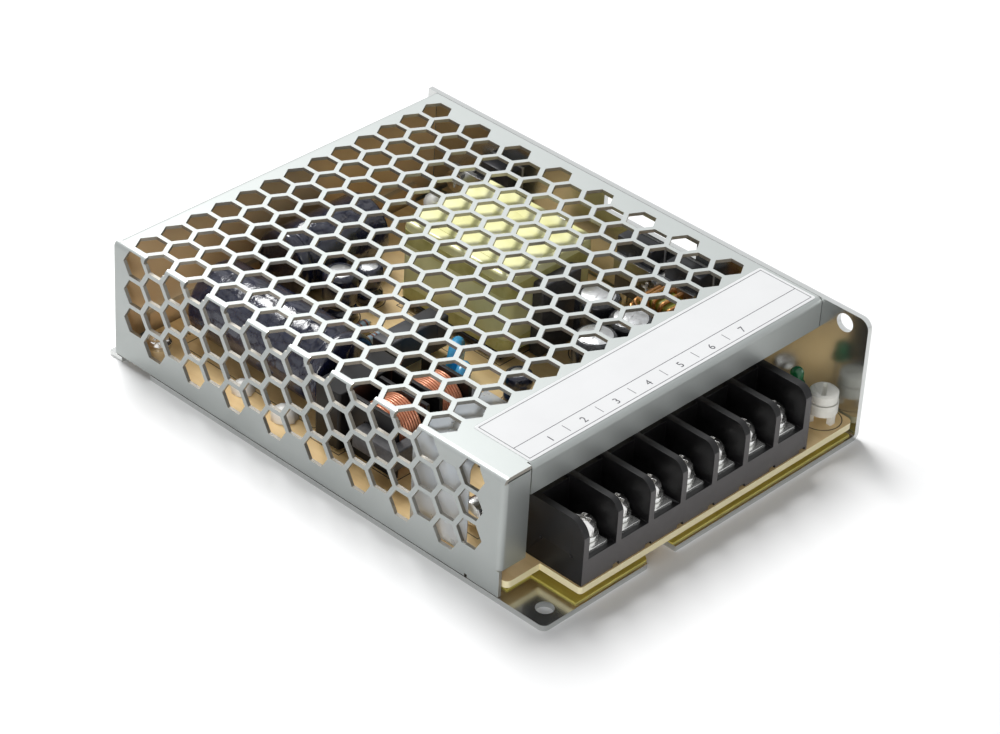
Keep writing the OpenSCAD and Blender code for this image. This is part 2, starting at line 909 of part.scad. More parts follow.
module output_choke_core() {
    color([0.6, 0.65, 0.2])
    translate([output_choke_at[0] - 3, output_choke_at[1], board_top + 8])
        rotate([0, 90, 0])
            difference() {
                cylinder(d = 14.4, h = 6, $fn = 48);
                translate([0, 0, -1])
                    cylinder(d = 8, h = 8, $fn = 40);
            }
}

module output_choke_winding() {
    color([0.72, 0.4, 0.2])
    translate([output_choke_at[0] - 4, output_choke_at[1], board_top + 8])
        rotate([0, 90, 0])
            rotate([0, 0, -120])
                rotate_extrude(angle = 300, $fn = 48)
                    difference() {
                        translate([3, 0])
                            square([5, 8]);
                        translate([3.95, 0.95])
                            square([3.3, 6.1]);
                    }
}

module shield_film() {
    color([0.75, 0.8, 0.84])
    union() {
        box(film_left, film_left + film_t, film_front, film_front + 15, board_top, film_top);
        box(film_left, film_left + 20.4, film_front, film_front + 15.6, film_top - film_t, film_top);
    }
}

module silicone_beads() {
    color([0.93, 0.93, 0.92])
    for (p = [
        [-half_w + 6.9, 17, board_top, 3], [-half_w + 7.1, 30, board_top, 2.6],
        [transformer_at[0] + 0.5, ty1 + 3.05, transformer_top - 3.5, 2.9]
    ])
        intersection() {
            translate([p[0], p[1], p[2]])
                sphere(r = p[3], $fn = 32);
            box(p[0] - 5, p[0] + 5, p[1] - 5, p[1] + 5, p[2], p[2] + 5);
        }
}

chassis();
mesh_cover();
cover_screws();
insulating_sheet();
circuit_board();
board_posts();
board_screws();
terminal_block();
contact_plates();
clamp_washer(1);  // clamp_washer_1
clamp_washer(2);  // clamp_washer_2
clamp_washer(3);  // clamp_washer_3
clamp_washer(4);  // clamp_washer_4
clamp_washer(5);  // clamp_washer_5
clamp_washer(6);  // clamp_washer_6
clamp_washer(7);  // clamp_washer_7
terminal_screw(1);  // terminal_screw_1
terminal_screw(2);  // terminal_screw_2
terminal_screw(3);  // terminal_screw_3
terminal_screw(4);  // terminal_screw_4
terminal_screw(5);  // terminal_screw_5
terminal_screw(6);  // terminal_screw_6
terminal_screw(7);  // terminal_screw_7
trimmer_body();
trimmer_dial();
indicator_led();
transformer_core();
transformer_bobbin();
transformer_winding();
main_capacitor();
second_capacitor();
line_capacitor();
disc_capacitors();
choke_core();
choke_bobbin();
choke_windings();
bridge_rectifier();
fuse();
thermistor();
small_capacitors();
resistors();
power_transistor();
output_diodes();
clamp_bar();
clamp_screws();
thermal_pad();
output_capacitors();
output_capacitor_tops();
output_choke_core();
output_choke_winding();
shield_film();
silicone_beads();
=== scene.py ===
import math

import bmesh
import bpy
from mathutils import Matrix, Vector


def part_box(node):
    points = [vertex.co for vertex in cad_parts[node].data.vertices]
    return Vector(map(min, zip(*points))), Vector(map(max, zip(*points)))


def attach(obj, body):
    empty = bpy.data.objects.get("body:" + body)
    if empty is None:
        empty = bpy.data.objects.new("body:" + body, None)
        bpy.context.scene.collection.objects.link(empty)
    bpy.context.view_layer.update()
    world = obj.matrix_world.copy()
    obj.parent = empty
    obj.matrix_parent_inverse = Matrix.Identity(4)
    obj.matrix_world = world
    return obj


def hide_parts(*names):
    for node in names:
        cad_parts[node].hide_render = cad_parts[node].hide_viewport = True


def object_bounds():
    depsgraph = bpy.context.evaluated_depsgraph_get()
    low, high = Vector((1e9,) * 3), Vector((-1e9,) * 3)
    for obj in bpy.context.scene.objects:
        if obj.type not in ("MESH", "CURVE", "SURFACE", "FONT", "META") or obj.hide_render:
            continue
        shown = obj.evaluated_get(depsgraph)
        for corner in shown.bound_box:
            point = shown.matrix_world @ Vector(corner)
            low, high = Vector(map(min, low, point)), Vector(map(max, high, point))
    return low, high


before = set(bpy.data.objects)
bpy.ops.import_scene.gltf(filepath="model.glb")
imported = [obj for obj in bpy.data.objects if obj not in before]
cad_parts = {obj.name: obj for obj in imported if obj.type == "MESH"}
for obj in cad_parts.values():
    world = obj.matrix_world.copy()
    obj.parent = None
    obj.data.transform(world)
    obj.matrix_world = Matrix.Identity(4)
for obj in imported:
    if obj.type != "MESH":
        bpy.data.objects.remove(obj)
case_low, case_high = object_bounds()
MM = 0.001
UP = (0, 0, 1)
WAYS = range(1, 8)

COVER_DEPTH = 0.84 * MM  # a little more than the cover's sheet
WALL_DEPTH = 4 * MM  # reaches past the double wall at the back
EDGE_ON, FACE_ON = 0.2, 0.9  # how far a face may look along an axis, or must
# colour of the painted reflection of the board on the inner walls
PAINTED_BOARD_REFLECTION = (0.80, 0.58, 0.33)


# ---- finishes ----


def finish(
    name,
    colour,
    rough,
    metal=0.0,
    second=None,
    spot=400.0,
    stretch=(1, 1, 1),
    rough_spread=0.1,
    grain=0.0,
    grain_scale=2500.0,
    coat=0.0,
    clear=0.0,
    opacity=1.0,
    sides=None,
    gloss=0.5,
):
    """A finish whose colour and roughness drift over the surface, with a fine grain in its relief.
    spot and grain_scale are in cycles per metre; grain is the relief's height in metres.
    sides is the colour of upright faces where it differs, as on a cut board."""
    material = bpy.data.materials.new(name)
    material.use_nodes = True
    nodes, links = material.node_tree.nodes, material.node_tree.links
    shader = nodes["Principled BSDF"]
    place = nodes.new("ShaderNodeTexCoord")
    mapping = nodes.new("ShaderNodeMapping")
    mapping.inputs["Scale"].default_value = stretch
    links.new(place.outputs["Object"], mapping.inputs["Vector"])
    cloud = nodes.new("ShaderNodeTexNoise")
    cloud.inputs["Scale"].default_value = spot
    cloud.inputs["Detail"].default_value = 5.0
    links.new(mapping.outputs["Vector"], cloud.inputs["Vector"])
    sharpen = nodes.new("ShaderNodeMapRange")
    sharpen.inputs["From Min"].default_value = 0.38
    sharpen.inputs["From Max"].default_value = 0.66
    links.new(cloud.outputs["Fac"], sharpen.inputs["Value"])
    tint = nodes.new("ShaderNodeMix")
    tint.data_type = "RGBA"
    tint.inputs["A"].default_value = (*colour, 1)
    tint.inputs["B"].default_value = (*(second or [c * 0.86 for c in colour]), 1)
    links.new(sharpen.outputs["Result"], tint.inputs["Factor"])
    if sides:
        facing = nodes.new("ShaderNodeSeparateXYZ")
        links.new(place.outputs["Normal"], facing.inputs["Vector"])
        level = nodes.new("ShaderNodeMath")
        level.operation = "ABSOLUTE"
        links.new(facing.outputs["Z"], level.inputs[0])
        cut = nodes.new("ShaderNodeMix")
        cut.data_type = "RGBA"
        cut.inputs["A"].default_value = (*sides, 1)
        links.new(level.outputs["Value"], cut.inputs["Factor"])
        links.new(tint.outputs["Result"], cut.inputs["B"])
        links.new(cut.outputs["Result"], shader.inputs["Base Color"])
    else:
        links.new(tint.outputs["Result"], shader.inputs["Base Color"])
    polish = nodes.new("ShaderNodeMapRange")
    polish.inputs["To Min"].default_value = max(rough - rough_spread, 0.02)
    polish.inputs["To Max"].default_value = rough + rough_spread
    links.new(cloud.outputs["Fac"], polish.inputs["Value"])
    links.new(polish.outputs["Result"], shader.inputs["Roughness"])
    if grain:
        fine = nodes.new("ShaderNodeTexNoise")
        fine.inputs["Scale"].default_value = grain_scale
        fine.inputs["Detail"].default_value = 3.0
        links.new(mapping.outputs["Vector"], fine.inputs["Vector"])
        relief = nodes.new("ShaderNodeBump")
        relief.inputs["Distance"].default_value = grain
        links.new(fine.outputs["Fac"], relief.inputs["Height"])
        links.new(relief.outputs["Normal"], shader.inputs["Normal"])
    shader.inputs["Metallic"].default_value = metal
    shader.inputs["Coat Weight"].default_value = coat
    shader.inputs["Coat Roughness"].default_value = 0.12
    shader.inputs["Transmission Weight"].default_value = clear
    shader.inputs["Alpha"].default_value = opacity
    shader.inputs["Specular IOR Level"].default_value = gloss
    return material


def tinted_where(material, rule, colour, metal):
    """Changes a finish where rule holds.
    rule builds a mask of maths nodes: it gets the function that adds one, the spot and the facing."""
    nodes, links = material.node_tree.nodes, material.node_tree.links
    shader = nodes["Principled BSDF"]
    place = nodes.new("ShaderNodeTexCoord")
    spot, facing = nodes.new("ShaderNodeSeparateXYZ"), nodes.new("ShaderNodeSeparateXYZ")
    links.new(place.outputs["Object"], spot.inputs["Vector"])
    links.new(place.outputs["Normal"], facing.inputs["Vector"])

    def step(operation, *values):
        node = nodes.new("ShaderNodeMath")
        node.operation = operation
        for socket, value in zip(node.inputs, values):
            if isinstance(value, float):
                socket.default_value = value
            else:
                links.new(value, socket)
        return node.outputs["Value"]

    mask = rule(step, spot.outputs, facing.outputs)
    both = nodes.new("ShaderNodeMix")
    both.data_type = "RGBA"
    both.inputs["B"].default_value = (*colour, 1)
    links.new(mask, both.inputs["Factor"])
    links.new(shader.inputs["Base Color"].links[0].from_socket, both.inputs["A"])
    links.new(both.outputs["Result"], shader.inputs["Base Color"])
    if metal != shader.inputs["Metallic"].default_value:
        shine = nodes.new("ShaderNodeMapRange")
        shine.inputs["To Min"].default_value = shader.inputs["Metallic"].default_value
        shine.inputs["To Max"].default_value = metal
        links.new(mask, shine.inputs["Value"])
        links.new(shine.outputs["Result"], shader.inputs["Metallic"])


def hole_walls(step, spot, facing):
    """Upright faces in the top sheet, and in the side sheet the faces that run across it."""
    in_top = step("GREATER_THAN", spot["Z"], case_high[2] - COVER_DEPTH)
    in_side = step("LESS_THAN", spot["X"], case_low[0] + COVER_DEPTH)
    upright = step("LESS_THAN", step("ABSOLUTE", facing["Z"]), EDGE_ON)
    across = step("LESS_THAN", step("ABSOLUTE", facing["X"]), EDGE_ON)
    return step("MAXIMUM", step("MULTIPLY", in_top, upright), step("MULTIPLY", in_side, across))


def scuffed_front(step, spot, facing):
    """The outer front of the terminal block, with a painted grey reflection of the floor."""
    front = step("LESS_THAN", spot["Y"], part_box("terminal_block")[0].y + 0.1 * MM)
    return step("MULTIPLY", front, step("GREATER_THAN", step("ABSOLUTE", facing["Y"]), FACE_ON))


def inner_faces(step, spot, facing):
    """The inside of the back and the left side, with a painted brown reflection of the board that they face.
    """
    at_back = step("GREATER_THAN", spot["Y"], case_high[1] - WALL_DEPTH)
    at_side = step("LESS_THAN", spot["X"], case_low[0] + WALL_DEPTH)
    forwards = step("LESS_THAN", facing["Y"], -FACE_ON)
    inwards = step("GREATER_THAN", facing["X"], FACE_ON)
    either = step("MAXIMUM", step("MULTIPLY", at_back, forwards), step("MULTIPLY", at_side, inwards))
    return step("MULTIPLY", either, step("GREATER_THAN", spot["Z"], WALL_DEPTH))


satin_cover = finish(
    "satin_cover", (0.40, 0.42, 0.41), 0.42, 0.8, (0.37, 0.39, 0.38),
    spot=60, rough_spread=0.05, grain=0.000006, grain_scale=2200,
)
tinted_where(satin_cover, hole_walls, (0.36, 0.34, 0.30), 0.5)
# painted reflection: the board's brown on the inside of the cover's back and left walls
tinted_where(satin_cover, inner_faces, PAINTED_BOARD_REFLECTION, 0.3)
bright_chassis = finish(
    "bright_chassis", (0.60, 0.61, 0.60), 0.2, 0.97, (0.54, 0.55, 0.54),
    spot=50, stretch=(1, 0.35, 1), rough_spread=0.06, grain=0.000004, grain_scale=1500,
)
# painted reflection: the board's brown on the inside of the chassis walls
tinted_where(bright_chassis, inner_faces, PAINTED_BOARD_REFLECTION, 0.3)
olive_film = finish(
    "olive_film", (0.56, 0.48, 0.10), 0.4, 0.0, (0.46, 0.39, 0.07), spot=200, grain=0.00001,
)
tan_laminate = finish(
    "tan_laminate", (0.90, 0.66, 0.33), 0.42, 0.0, (0.82, 0.58, 0.27),
    spot=500, stretch=(1, 0.15, 1), grain=0.000012, grain_scale=3000, sides=(0.82, 0.73, 0.46),
)
board_ink = finish("board_ink", (0.12, 0.085, 0.05), 0.6, spot=900)
black_moulding = finish(
    "black_moulding", (0.004, 0.0037, 0.004), 0.38, 0.0, (0.007, 0.0065, 0.007),
    spot=300, rough_spread=0.06, grain=0.000008, grain_scale=2600, gloss=0.3,
)
# painted reflection: the floor's grey on the front face of the terminal block
tinted_where(black_moulding, scuffed_front, (0.085, 0.08, 0.08), 0.0)
nickel = finish(
    "nickel", (0.88, 0.87, 0.85), 0.17, 0.95, (0.78, 0.77, 0.75),
    spot=900, rough_spread=0.06, grain=0.000008, grain_scale=1800,
)
bright_tin = finish(
    "bright_tin", (0.93, 0.93, 0.91), 0.24, 0.9, (0.84, 0.84, 0.82),
    spot=700, rough_spread=0.06, grain=0.000005, grain_scale=2600,
)
solder = finish("solder", (0.72, 0.72, 0.71), 0.28, 1.0, spot=1400, grain=0.00002, grain_scale=1500)
cream = finish(
    "cream", (0.80, 0.79, 0.73), 0.38, 0.0, (0.73, 0.72, 0.66), spot=500, grain=0.000006,
)
green_lens = finish(
    "green_lens", (0.03, 0.32, 0.12), 0.12, 0.0, (0.025, 0.26, 0.10),
    spot=300, clear=0.45, rough_spread=0.03,
)
ferrite = finish(
    "ferrite", (0.045, 0.045, 0.05), 0.5, 0.0, (0.07, 0.07, 0.075),
    spot=1200, grain=0.00002, grain_scale=3200,
)
yellow_tape = finish(
    "yellow_tape", (0.90, 0.89, 0.50), 0.24, 0.0, (0.82, 0.80, 0.38),
    spot=120, grain=0.00005, grain_scale=260, coat=0.4,
)
tape_margin = finish(
    "tape_margin", (0.70, 0.67, 0.27), 0.3, 0.0, (0.46, 0.43, 0.14),
    spot=160, grain=0.00003, grain_scale=300,
)
navy_sleeve = finish(
    "navy_sleeve", (0.009, 0.011, 0.032), 0.17, 0.0, (0.018, 0.022, 0.05),
    spot=420, rough_spread=0.05, grain=0.0003, grain_scale=420, coat=0.5,
)
black_sleeve = finish(
    "black_sleeve", (0.016, 0.017, 0.021), 0.22, 0.0, (0.028, 0.03, 0.036),
    spot=260, grain=0.00003, grain_scale=500, coat=0.4,
)
blue_dip = finish(
    "blue_dip", (0.04, 0.40, 0.78), 0.25, 0.0, (0.05, 0.46, 0.84),
    spot=350, grain=0.00004, grain_scale=700, coat=0.3,
)
copper_wire = finish(
    "copper_wire", (0.85, 0.37, 0.21), 0.3, 0.35, (0.72, 0.28, 0.15),
    spot=700, coat=0.4, rough_spread=0.06,
)
gold_wire = finish(
    "gold_wire", (0.60, 0.29, 0.085), 0.28, 0.6, (0.46, 0.2, 0.06),
    spot=700, coat=0.4, rough_spread=0.06,
)
epoxy_black = finish(
    "epoxy_black", (0.022, 0.024, 0.032), 0.46, 0.0, (0.035, 0.037, 0.046), spot=500, grain=0.000015,
)
ceramic = finish("ceramic", (0.70, 0.64, 0.50), 0.5, 0.0, (0.62, 0.56, 0.43), spot=600, grain=0.00001)
green_dip = finish(
    "green_dip", (0.025, 0.085, 0.045), 0.34, 0.0, (0.035, 0.11, 0.06), spot=450, grain=0.00003,
)
resistor_paint = finish("resistor_paint", (0.30, 0.42, 0.50), 0.36, 0.0, (0.26, 0.37, 0.45), spot=700)
band_paint = finish("band_paint", (0.16, 0.05, 0.03), 0.4, 0.0, (0.2, 0.07, 0.04), spot=900)
spring_steel = finish(
    "spring_steel", (0.56, 0.57, 0.58), 0.3, 1.0, (0.48, 0.49, 0.50),
    spot=400, stretch=(1, 0.2, 1), grain=0.000006,
)
grey_pad = finish("grey_pad", (0.50, 0.50, 0.52), 0.65, 0.0, (0.44, 0.44, 0.46), spot=700, grain=0.00002)
bare_can = finish(
    "bare_can", (0.72, 0.73, 0.74), 0.3, 0.9, (0.64, 0.65, 0.66), spot=500, grain=0.00001,
)
toroid_paint = finish(
    "toroid_paint", (0.40, 0.44, 0.07), 0.4, 0.0, (0.33, 0.37, 0.05),
    spot=500, grain=0.00003, grain_scale=900,
)
milky_film = finish(
    "milky_film", (0.66, 0.72, 0.78), 0.3, 0.0, (0.60, 0.66, 0.72),
    spot=90, clear=0.35, grain=0.00005, grain_scale=120, opacity=0.72,
)
white_silicone = finish(
    "white_silicone", (0.84, 0.84, 0.82), 0.36, 0.0, (0.78, 0.78, 0.76),
    spot=300, grain=0.00006, grain_scale=500,
)
label_film = finish(
    "label_film", (0.74, 0.745, 0.75), 0.45, 0.0, (0.71, 0.715, 0.72),
    spot=80, grain=0.000004, grain_scale=900,
)
label_ink = finish("label_ink", (0.06, 0.06, 0.07), 0.5, spot=900)


# ---- ways of making a form, in millimetres ----


def span(node):
    """Lowest and highest corner of a CAD part, in millimetres."""
    low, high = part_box(node)
    return low / MM, high / MM


def centre(node):
    low, high = span(node)
    return (low + high) / 2


def loose_parts(node):
    """Corners, in millimetres, of each separate solid of a CAD part."""
    form = bmesh.new()
    form.from_mesh(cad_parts[node].data)
    bmesh.ops.remove_doubles(form, verts=form.verts, dist=1e-6)
    left, found = set(form.verts), []
    while left:
        group, edge = set(), {left.pop()}
        while edge:
            v = edge.pop()
            group.add(v)
            for e in v.link_edges:
                other = e.other_vert(v)
                if other in left:
                    left.discard(other)
                    edge.add(other)
        xs, ys, zs = zip(*((v.co / MM)[:] for v in group))
        found.append((Vector((min(xs), min(ys), min(zs))), Vector((max(xs), max(ys), max(zs)))))
    form.free()
    return found


def piece(name, form, look, stands_for=(), body="case", smooth=38, scale=MM):
    """Turns a form into a finished piece of the part: sized, shaded and riding on its body."""
    bmesh.ops.scale(form, vec=(scale, scale, scale), verts=form.verts)
    mesh = bpy.data.meshes.new(name)
    form.to_mesh(mesh)
    form.free()
    mesh.materials.append(look)
    mesh.shade_smooth()
    mesh.set_sharp_from_angle(angle=math.radians(smooth))
    made = bpy.data.objects.new(name, mesh)
    bpy.context.scene.collection.objects.link(made)
    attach(made, body)
    if stands_for:
        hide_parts(*stands_for)
    return made


def block(form, low, high, edge=0.0, segments=2, upright_only=False):
    """A box between two corners, its edges rounded."""
    made = bmesh.ops.create_cube(form, size=1.0)["verts"]
    low, high = Vector(low), Vector(high)
    bmesh.ops.scale(form, vec=high - low, verts=made)
    bmesh.ops.translate(form, vec=(low + high) / 2, verts=made)
    if edge:
        edges = {e for v in made for e in v.link_edges}
        if upright_only:
            edges = {e for e in edges if abs(e.verts[0].co.z - e.verts[1].co.z) > 1e-6}
        bmesh.ops.bevel(
            form, geom=list(edges), offset=edge, segments=segments,
            affect="EDGES", profile=0.5, material=-1, clamp_overlap=True,
        )


def turned(form, profile, foot, along=UP, sides=32):
    """A lathe shape: (radius, height) pairs spun round an axis that starts at foot."""
    before = set(form.verts)
    points = [form.verts.new((r, 0, h)) for r, h in profile]
    lines = [form.edges.new(pair) for pair in zip(points, points[1:])]
    bmesh.ops.spin(
        form, geom=points + lines, cent=(0, 0, 0), axis=UP,
        angle=math.tau, steps=sides, use_merge=True, use_duplicate=False,
    )
    fresh = [v for v in form.verts if v not in before]
    bmesh.ops.remove_doubles(form, verts=fresh, dist=1e-4)
    fresh = [v for v in form.verts if v not in before]
    bmesh.ops.recalc_face_normals(form, faces=list({f for v in fresh for f in v.link_faces}))
    turn = Vector(UP).rotation_difference(Vector(along)).to_matrix().to_4x4()
    bmesh.ops.transform(form, matrix=Matrix.Translation(foot) @ turn, verts=fresh)


def rod(form, foot, height, radius, edge=0.15, along=UP, sides=32):
    """A round rod with softened rims."""
    profile = [
        (0, 0), (radius - edge, 0), (radius - edge * 0.3, edge * 0.3), (radius, edge),
        (radius, height - edge), (radius - edge * 0.3, height - edge * 0.3), (radius - edge, height),
        (0, height),
    ]
    turned(form, profile, foot, along, sides)


def ring(form, foot, inner, outer, height, along=UP, sides=36):
    profile = [(inner, 0), (outer, 0), (outer, height), (inner, height), (inner, 0)]
    turned(form, profile, foot, along, sides)


def wires(form, routes, radius, sides=1, closed=False):
    """Round wires that follow lists of points."""
    curve = bpy.data.curves.new("wire", "CURVE")
    curve.dimensions = "3D"
    curve.bevel_depth = radius
    curve.bevel_resolution = sides
    curve.use_fill_caps = True
    for route in routes:
        line = curve.splines.new("POLY")
        line.points.add(len(route) - 1)
        for point, spot in zip(line.points, route):
            point.co = (*spot, 1)
        line.use_cyclic_u = closed
    holder = bpy.data.objects.new("wire", curve)
    bpy.context.scene.collection.objects.link(holder)
    mesh = bpy.data.meshes.new_from_object(holder)
    form.from_mesh(mesh)
    bpy.data.objects.remove(holder)
    bpy.data.curves.remove(curve)
    bpy.data.meshes.remove(mesh)


def softened(node, look, edge=0.15, body="case", segments=2):
    """A CAD part with its sharp edges rounded."""
    form = bmesh.new()
    form.from_mesh(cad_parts[node].data)
    bmesh.ops.remove_doubles(form, verts=form.verts, dist=1e-6)
    bmesh.ops.dissolve_limit(
        form, angle_limit=math.radians(2), verts=form.verts, edges=form.edges,
        use_dissolve_boundaries=False,
    )
    made = piece("soft_" + node, form, look, [node], body, scale=1)
    rounding = made.modifiers.new("edges", "BEVEL")
    rounding.width = edge * MM
    rounding.segments = segments
    rounding.limit_method = "ANGLE"
    rounding.angle_limit = math.radians(50)
    rounding.use_clamp_overlap = True
    return made


def coat_node(node, look):
    """Gives a CAD part its finish."""
    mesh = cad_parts[node].data
    mesh.materials.clear()
    mesh.materials.append(look)


# ---- case ----


def case_sheets():
    coat_node("chassis", bright_chassis)
    coat_node("mesh_cover", satin_cover)
    coat_node("insulating_sheet", olive_film)
    coat_node("circuit_board", tan_laminate)
    coat_node("board_posts", nickel)
    coat_node("cover_screws", nickel)
    softened("board_screws", nickel, 0.12)


def label():
    """A white label on the front band of the cover, ruled but blank apart from the terminal numbers."""
    top = span("mesh_cover")[1].z
    low, high = case_low / MM, case_high / MM
    left, right = low.x + 8, high.x - 2.2
    front, rule, back = low.y + 13.5, low.y + 18.6, low.y + 28.9
    thick = 0.08
    sheet = bmesh.new()
    block(sheet, (left, front, top), (right, back, top + thick), 0.6, 3, upright_only=True)
    piece("front_label", sheet, label_film)
    ink = bmesh.new()
    z0, z1 = top + thick, top + thick + 0.02

    def line(x0, y0, x1, y1):
        block(ink, (min(x0, x1), min(y0, y1), z0), (max(x0, x1), max(y0, y1), z1))

    margin, w = 0.7, 0.14
    x0, x1, y0, y1 = left + margin, right - margin, front + margin, back - margin
    line(x0, y0, x1, y0 + w)
    line(x0, y1 - w, x1, y1)
    line(x0, y0, x0 + w, y1)
    line(x1 - w, y0, x1, y1)
    line(x0, rule, x1, rule + w)
    pitch = (centre("terminal_screw_2") - centre("terminal_screw_1")).x
    for i in WAYS[:-1]:
        x = centre(f"terminal_screw_{i}").x + pitch / 2
        line(x, y0 + 1, x + w, rule - 1)
    piece("label_rules", ink, label_ink)
    digits = bmesh.new()
    for i in WAYS:
        text = bpy.data.curves.new("number", "FONT")
        text.body = str(i)
        text.size = 2.6
        text.align_x = "CENTER"
        text.extrude = 0.01
        holder = bpy.data.objects.new("number", text)
        bpy.context.scene.collection.objects.link(holder)
        mesh = bpy.data.meshes.new_from_object(holder)
        spot = (centre(f"terminal_screw_{i}").x, front + 1.7, z0 + 0.01)
        mesh.transform(Matrix.Translation(spot))
        digits.from_mesh(mesh)
        bpy.data.objects.remove(holder)
        bpy.data.meshes.remove(mesh)
        bpy.data.curves.remove(text)
    piece("terminal_numbers", digits, label_ink, smooth=20)


# ---- terminals, trimmer and status light ----


def terminals():
    softened("terminal_block", black_moulding, 0.25)
    softened("contact_plates", bright_tin, 0.12)
    for i in WAYS:
        softened(f"clamp_washer_{i}", bright_tin, 0.25, f"washer_{i}")
        softened(f"terminal_screw_{i}", nickel, 0.22, f"screw_{i}", 3)


def trimmer():
    softened("trimmer_body", cream, 0.25)
    softened("trimmer_dial", cream, 0.2, "dial")


def status_light():
    low, high = span("indicator_led")
    x, y = centre("indicator_led").xy
    r = 1.5
    lens = bmesh.new()
    dome = [
        (r * math.cos(math.radians(a)), high.z - r + r * math.sin(math.radians(a))) for a in range(0, 91, 15)
    ]
    body = [
        (0, high.z - 4.5), (1.7, high.z - 4.5), (1.9, high.z - 4.3), (1.9, high.z - 3.7),
        (1.75, high.z - 3.5), (r, high.z - 3.4),
    ]
    turned(lens, body + dome, (x, y, 0))
    piece("lamp_lens", lens, green_lens, ["indicator_led"])
    legs = bmesh.new()
    half = 0.22
    for leg in (x - 1.27, x + 1.27):
        block(legs, (leg - half, y - half, low.z), (leg + half, y + half, high.z - 4.4))
    piece("lamp_legs", legs, solder)


# ---- power parts ----


def transformer():
    low, high = span("transformer_winding")
    tape = bmesh.new()
    block(tape, low, high, 2.2, 5, upright_only=True)
    rims = [
        e for e in tape.edges
        if e.calc_face_angle(0) > 1.2 and abs(e.verts[0].co.z - e.verts[1].co.z) < 1e-6
    ]
    bmesh.ops.bevel(
        tape, geom=rims, offset=0.7, segments=3,
        affect="EDGES", profile=0.5, material=-1, clamp_overlap=True,
    )
    piece("transformer_tape", tape, yellow_tape, ["transformer_winding"])
    wrap = bmesh.new()
    lift = 0.12
    for z0, z1 in ((low.z + 0.2, low.z + 3.4), (high.z - 5.6, high.z - 2.2)):
        block(
            wrap, (low.x - lift, low.y - lift, z0), (high.x + lift, high.y + lift, z1),
            2.3, 5, upright_only=True,
        )
    piece("transformer_margin", wrap, tape_margin)
    tail = bmesh.new()
    block(
        tail, (low.x + 3, low.y + 1.6, high.z), (high.x - 9, high.y - 1.6, high.z + 0.1),
        0.8, 2, upright_only=True,
    )
    piece("tape_tail", tail, yellow_tape)
    softened("transformer_core", ferrite, 0.4)
    softened("transformer_bobbin", black_moulding, 0.3)
    pins = bmesh.new()
    board = span("circuit_board")[1].z
    count, inset = 6, 5
    for x in (low.x + 0.4, high.x - 0.4):
        for step in range(count):
            y = low.y + inset + step * (high.y - low.y - 2 * inset) / (count - 1)
            rod(pins, (x, y, board), 2.1, 0.45, 0.1, sides=12)
    piece("transformer_pins", pins, solder)


def sleeved_can(form, foot, along, radius, length):
    """An electrolytic can in its shrink sleeve, with the rolled groove near the foot."""
    lip = 0.5
    profile = [
        (0, 0.35), (radius - 1.6, 0.35), (radius - 1.5, 0), (radius - 0.7, 0.05), (radius - 0.25, 0.4),
        (radius, 1.0), (radius, 2.2), (radius - 0.25, 2.7), (radius - 0.85, 3.2), (radius - 0.95, 3.6),
        (radius - 0.85, 4.0), (radius - 0.3, 4.5), (radius, 5.2), (radius, length - 1.2),
        (radius - 0.25, length - lip), (radius - 0.9, length), (radius - 1.3, length),
    ]
    turned(form, profile, foot, along, 48)


def can_end(form, foot, along, radius, cross=True):
    """The bare end of a can inside the sleeve's rolled edge, with its scored cross."""
    turned(form, [(0, 0), (radius - 0.25, 0), (radius, -0.15)], foot, along, 40)
    if cross:
        turn = Vector(UP).rotation_difference(Vector(along)).to_matrix().to_4x4()
        for angle in (20, 110):
            before = set(form.verts)
            block(form, (-radius * 0.62, -0.13, -0.02), (radius * 0.62, 0.13, 0.06), 0.05, 1)
            fresh = [v for v in form.verts if v not in before]
            spin = Matrix.Rotation(math.radians(angle), 4, "Z")
            bmesh.ops.transform(form, matrix=Matrix.Translation(foot) @ turn @ spin, verts=fresh)


def lying_can(node, along, name, ends):
    """A can on its side, its foot at the lower end of the axis along."""
    low, high = span(node)
    size = high - low
    along = Vector(along)
    length = size.dot(along)
    radius = (size.x + size.y - length) / 2
    foot = centre(node) - along * length / 2
    sleeve = bmesh.new()
    sleeved_can(sleeve, foot, along, radius, length)
    can_end(ends, foot + along * (length - 0.15), along, radius - 1.2)
    piece(name, sleeve, navy_sleeve, [node])


def standing_cans(node, name, look, ends, lift):
    """Upright cans. lift is how far the bare end stands over the sleeve."""
    sleeves = bmesh.new()
    for low, high in loose_parts(node):
        radius = (high.x - low.x) / 2
        height = high.z - low.z
        foot = Vector(((low.x + high.x) / 2, (low.y + high.y) / 2, low.z))
        sleeved_can(sleeves, foot, UP, radius, height)
        can_end(ends, foot + Vector((0, 0, height + lift)), UP, radius - 1.15, radius > 3.5)
    piece(name, sleeves, look, [node])


def capacitors():
    ends = bmesh.new()
    lying_can("main_capacitor", (0, 1, 0), "main_sleeve", ends)
    lying_can("second_capacitor", (1, 0, 0), "second_sleeve", ends)
    standing_cans("output_capacitors", "output_sleeves", black_sleeve, ends, 0.1)
    standing_cans("small_capacitors", "small_sleeves", navy_sleeve, ends, -0.1)
    piece("can_ends", ends, bare_can, ["output_capacitor_tops"])


